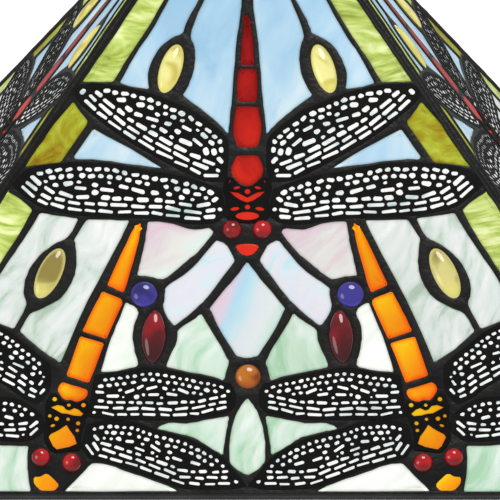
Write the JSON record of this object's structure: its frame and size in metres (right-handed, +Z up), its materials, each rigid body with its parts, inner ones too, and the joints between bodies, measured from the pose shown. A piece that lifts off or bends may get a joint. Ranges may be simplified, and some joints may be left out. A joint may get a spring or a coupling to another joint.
{
  "type": "stained glass table lamp",
  "caption": "Table lamp with a four-sided leaded glass dragonfly shade on a square bronze stand, with a two-light cluster, turn-key sockets and a finial.",
  "frame": {"origin": "centre of the underside of the base pad, on the table", "axes": "+Z up along the lamp's axis, -Y towards the front panel, +X to its right"},
  "size_m": [0.458, 0.458, 0.6167],
  "materials": {
    "bronze": "dark antique bronze patina, satin",
    "brass": "dull brushed brass",
    "steel": "zinc plated",
    "felt": "dark green felt",
    "black_plastic": "satin black",
    "lead": "black patina on solder, slightly rough",
    "red_wing": "red glass under black pierced metal",
    "orange_wing": "orange glass under black pierced metal",
    "sky_glass": "pale blue art glass, lightly rippled",
    "opal_glass": "streaky white, pink and green opalescent art glass",
    "green_glass": "yellow-green streaky art glass",
    "bulb_glass": "frosted"
  },
  "bodies": {
    "stand": {"base_pad": "felt", "foot_plate": "bronze", "foot_step": "bronze", "column": "bronze", "column_capital": "bronze", "neck_tube": "brass", "cord_bushing": "black_plastic", "centre_rod": "steel", "rod_nut": "brass", "cluster_body": "brass", "left_socket_shell": "brass", "right_socket_shell": "brass", "riser": "brass", "lock_nut": "brass", "seat_ring": "brass"},
    "shade": {"front_leading": "lead", "front_sky_glass": "sky_glass", "front_field_glass": "opal_glass", "front_left_border_glass": "green_glass", "front_right_border_glass": "green_glass", "front_red_dragonfly": "red_wing", "front_left_orange_dragonfly": "orange_wing", "front_right_orange_dragonfly": "orange_wing", "right_leading": "lead", "right_sky_glass": "sky_glass", "right_field_glass": "opal_glass", "right_left_border_glass": "green_glass", "right_right_border_glass": "green_glass", "right_red_dragonfly": "red_wing", "right_left_orange_dragonfly": "orange_wing", "right_right_orange_dragonfly": "orange_wing", "back_leading": "lead", "back_sky_glass": "sky_glass", "back_field_glass": "opal_glass", "back_left_border_glass": "green_glass", "back_right_border_glass": "green_glass", "back_red_dragonfly": "red_wing", "back_left_orange_dragonfly": "orange_wing", "back_right_orange_dragonfly": "orange_wing", "left_leading": "lead", "left_sky_glass": "sky_glass", "left_field_glass": "opal_glass", "left_left_border_glass": "green_glass", "left_right_border_glass": "green_glass", "left_red_dragonfly": "red_wing", "left_left_orange_dragonfly": "orange_wing", "left_right_orange_dragonfly": "orange_wing", "front_right_hip_came": "lead", "right_back_hip_came": "lead", "back_left_hip_came": "lead", "left_front_hip_came": "lead", "rim_channel": "lead", "vase_cap": "bronze"},
    "left_key": {"left_socket_key": "black_plastic"},
    "right_key": {"right_socket_key": "black_plastic"},
    "left_bulb": {"left_bulb_base": "steel", "left_bulb_glass": "bulb_glass"},
    "right_bulb": {"right_bulb_base": "steel", "right_bulb_glass": "bulb_glass"},
    "finial": {"finial": "bronze"}
  },
  "joints": [
    {"name": "shade_turn", "type": "hinge", "parent": "stand", "child": "shade", "pos_m": [0, 0, 0.56], "axis": [0, 0, 1], "continuous": true},
    {"name": "finial_turn", "type": "hinge", "parent": "stand", "child": "finial", "pos_m": [0, 0, 0.5767], "axis": [0, 0, 1], "continuous": true},
    {"name": "left_bulb_turn", "type": "hinge", "parent": "stand", "child": "left_bulb", "pos_m": [0, 0, 0.385], "axis": [-0.9659, 0, 0.2588], "continuous": true},
    {"name": "left_key_turn", "type": "hinge", "parent": "stand", "child": "left_key", "pos_m": [-0.04231, -0.02, 0.39634], "axis": [0, -1, 0], "continuous": true},
    {"name": "right_bulb_turn", "type": "hinge", "parent": "stand", "child": "right_bulb", "pos_m": [0, 0, 0.385], "axis": [0.9659, 0, 0.2588], "continuous": true},
    {"name": "right_key_turn", "type": "hinge", "parent": "stand", "child": "right_key", "pos_m": [0.04231, -0.02, 0.39634], "axis": [0, -1, 0], "continuous": true}
  ]
}
